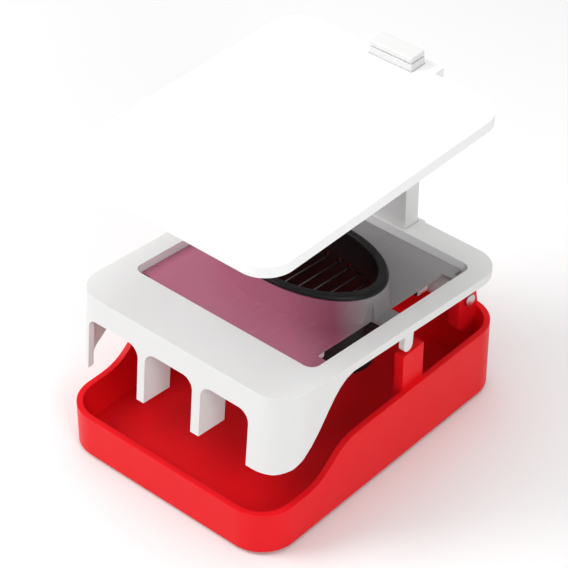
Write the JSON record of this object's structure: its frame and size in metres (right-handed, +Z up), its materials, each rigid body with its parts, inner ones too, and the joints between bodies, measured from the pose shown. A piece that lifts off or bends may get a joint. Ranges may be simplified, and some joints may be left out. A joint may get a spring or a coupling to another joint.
{
  "type": "egg slicer",
  "caption": "Press-type egg slicer: red catch tray, hinged white cutting frame with wires under an oval black collar, and a white lid that slides down a rear column.",
  "frame": {"origin": "centre of the tray on the surface it stands on", "axes": "+Z up, +Y to the hinge at the rear, +X to the right seen from the front"},
  "size_m": [0.104, 0.14, 0.1368],
  "materials": {
    "red_plastic": "satin",
    "white_plastic": "satin",
    "smoke_plastic": "satin",
    "black_plastic": "satin",
    "steel": "satin",
    "foot_rubber": "matte"
  },
  "bodies": {
    "tray": {"tray_shell": "red_plastic", "foot_front_left": "foot_rubber", "foot_front_right": "foot_rubber", "foot_rear_left": "foot_rubber", "foot_rear_right": "foot_rubber", "hinge_pin": "steel"},
    "frame": {"frame_shell": "white_plastic", "insert_plate": "smoke_plastic", "egg_collar": "black_plastic", "slice_guide": "black_plastic", "wire_clamp_front": "steel", "wire_clamp_rear": "steel", "clamp_screw_front_left": "steel", "clamp_screw_front_right": "steel", "clamp_screw_rear_left": "steel", "clamp_screw_rear_right": "steel", "guide_screw_left": "steel", "guide_screw_right": "steel", "wire_01": "steel", "wire_02": "steel", "wire_03": "steel", "wire_04": "steel", "wire_05": "steel", "wire_06": "steel", "wire_07": "steel", "wire_08": "steel", "wire_09": "steel", "wire_10": "steel", "wire_11": "steel", "column_screw_left": "steel", "column_screw_right": "steel", "guide_column": "white_plastic", "column_cap": "white_plastic", "return_spring": "steel"},
    "press": {"press_carriage": "white_plastic", "press_lid": "white_plastic", "pusher_comb": "white_plastic", "comb_screw_left": "steel", "comb_screw_right": "steel", "carriage_screw_left": "steel", "carriage_screw_right": "steel"}
  },
  "joints": [
    {"name": "frame_hinge", "type": "hinge", "parent": "tray", "child": "frame", "pos_m": [0, 0.062, 0.0375], "axis": [-1, 0, 0], "range_deg": [0, 60]},
    {"name": "press_slide", "type": "slide", "parent": "frame", "child": "press", "axis": [0, 0, 1], "range_m": [-0.05, 0], "stiffness_N_per_m": 60, "springref_m": 0.03, "deforming": ["return_spring"]}
  ]
}
